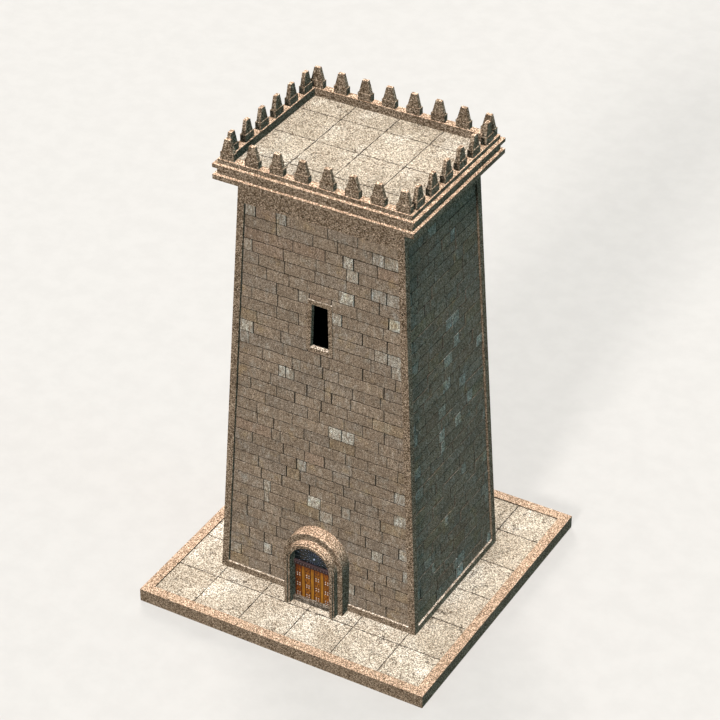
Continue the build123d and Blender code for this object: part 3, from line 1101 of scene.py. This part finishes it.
sides = ("front", "back", "left", "right")
door_parts = ("beside_door", "over_door", "beside_window", "over_window")
crown = [f"{side}_{form}" for side in sides for form in ("cornice", "parapet")]
strips = [f"{y}_{x}_corner_strip" for y in ("front", "back") for x in ("left", "right")]
portal = [f"portal_{order}_{form}" for order in ("inner", "outer") for form in ("jambs", "arch")]
front_walls = [f"front_wall_{part}" for part in door_parts]
dress(crown + strips + portal + ["frieze"], trim)
dress(["window_sill", "window_jambs", "window_lintel", "base_course"], ledge)
dress(["plinth_core"] + [f"{side}_kerb" for side in sides], kerb)
dress(front_walls + ["back_wall", "left_wall", "right_wall", "window_breast"], wall_core)
dress(["plinth_paving", "terrace_deck"], joint_grit)
dress(["threshold"], doorstep)
dress(["upper_floor"], floor_boards)
dress([f"{side}_merlons" for side in sides], merlon)
dress(["transom"], dark_timber)
dress(["fanlight"], glass)

# Pieces laid on the solids
levels = course_levels()
wall_looks = {"front": ashlar, "back": ashlar, "left": side_ashlar, "right": side_ashlar}
stone_walls = []
for side in sides:
    stones = wall_stones(side, levels)
    stone_walls.append(stones.make(f"{side}_wall_stones", wall_looks[side], "wall_stone"))
slabs(court_slab, court_half, court_half, paving_top).make("court_slabs", court, "paving_stone")
slabs(terrace_slab, *terrace_half, terrace_top).make("terrace_slabs", slab, "paving_stone")
for side in ("left", "right"):
    amber = timber_look(f"{side}_leaf_timber", leaf_shades(*leaf_edges(side)), "Z")
    dress([f"{side}_door_leaf"], amber)
    studs(side, stud_metal)
fanlight_bars(bar_metal)
fanlight_rivets(hub_metal)
fanlight_hub(hub_metal)
transom_strip(strip_timber)
transom_beads(bead_metal)

# Floor, light and camera
floor_pale = rgb(0.66, 0.66, 0.65)
floor_bounce = rgb(0.2, 0.21, 0.21)
floor_patches = Patches(0.8, 3.0, 0.6, low=0.3, high=0.7, weakest=0.98, strongest=1.02)
floor_roughness = 0.9
floor_specular = 0.1
sky_cool = rgb(0.1, 0.15, 0.16)
sky_pale = rgb(0.82, 0.82, 0.81)
warm_light = (1.0, 0.92, 0.87)
front_light = (1.0, 0.93, 0.88)
cool_light = (0.32, 0.84, 1.0)

# Lamps, with angles in degrees
Lamp = namedtuple("Lamp", "azimuth elevation strength softness colour")
overhead_lamp = Lamp(azimuth=-20, elevation=87.5, strength=2.95, softness=11, colour=warm_light)
front_lamp = Lamp(azimuth=4, elevation=22, strength=1.64, softness=12, colour=front_light)
side_lamp = Lamp(azimuth=90, elevation=12, strength=0.32, softness=20, colour=cool_light)
back_lamp = Lamp(azimuth=-140, elevation=25, strength=1.2, softness=25, colour=warm_light)


def pale_floor():
    """Pale floor that the camera sees; light that bounces off it meets a darker tone."""
    signs = ((-1, -1), (1, -1), (1, 1), (-1, 1))
    points = [(floor_reach * x, floor_reach * y, 0) for x, y in signs]
    look = Look("pale_floor")
    path = look.add("ShaderNodeLightPath")
    seen = look.math("MAXIMUM", path.outputs["Is Camera Ray"], path.outputs["Is Glossy Ray"])
    seen = look.math("MAXIMUM", seen, path.outputs["Is Transmission Ray"])
    pale = look.scaled(floor_pale, look.patches(floor_patches))
    colour = look.mix(seen, floor_bounce, pale)
    material = look.finish(colour, floor_roughness, Specular_IOR_Level=floor_specular)
    floor = new_object("floor", new_mesh("floor", points, [(0, 1, 2, 3)], material))


def direction(azimuth, elevation):
    """From the keep towards a place at an azimuth, to the right of the door, and an elevation."""
    level = math.cos(elevation)
    return Vector((math.sin(azimuth) * level, -math.cos(azimuth) * level, math.sin(elevation)))


def look_back(holder, towards):
    """Turns a lamp or a camera so that it looks against a direction."""
    holder.rotation_mode = "QUATERNION"
    holder.rotation_quaternion = (-towards).to_track_quat("-Z", "Y")


def sun(name, lamp, blockers=()):
    """Soft distant lamp; where blockers are given, only they cast its shadow."""
    light = bpy.data.lights.new(name, "SUN")
    light.energy = lamp.strength
    light.angle = math.radians(lamp.softness)
    light.color = lamp.colour
    holder = new_object(name, light)
    look_back(holder, direction(math.radians(lamp.azimuth), math.radians(lamp.elevation)))
    if blockers:
        casting = bpy.data.collections.new(f"{name}_blockers")
        for piece in blockers:
            casting.objects.link(piece)
        holder.light_linking.blocker_collection = casting


def studio_world():
    """Dim cool light from all round, and a pale backdrop for what the camera sees."""
    world = bpy.data.worlds.new("studio")
    bpy.context.scene.world = world
    world.use_nodes = True
    tree = world.node_tree
    background = tree.nodes["Background"]
    path = tree.nodes.new("ShaderNodeLightPath")
    blend = tree.nodes.new("ShaderNodeMix")
    blend.data_type = "RGBA"
    blend.inputs[6].default_value = sky_cool
    blend.inputs[7].default_value = sky_pale
    tree.links.new(path.outputs["Is Camera Ray"], blend.inputs[0])
    tree.links.new(blend.outputs[2], background.inputs["Color"])
    background.inputs["Strength"].default_value = 1.0


def photo_camera():
    data = bpy.data.cameras.new("camera")
    data.lens = camera_lens
    data.sensor_width = camera_sensor
    data.clip_end = camera_reach
    camera = new_object("camera", data)
    back = direction(camera_azimuth, camera_elevation)
    camera.location = camera_target + back * camera_distance
    look_back(camera, back)
    bpy.context.scene.camera = camera


pale_floor()
roofs = [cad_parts[name] for name in ("terrace_deck", "upper_floor")]
right_wall = [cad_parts["right_wall"]]
sun("overhead_lamp", overhead_lamp, stone_walls + roofs)
sun("front_lamp", front_lamp)
sun("side_lamp", side_lamp, right_wall)
sun("back_lamp", back_lamp)
bpy.context.scene.cycles.diffuse_bounces = 0
studio_world()
photo_camera()
bpy.context.scene.view_settings.view_transform = "Standard"
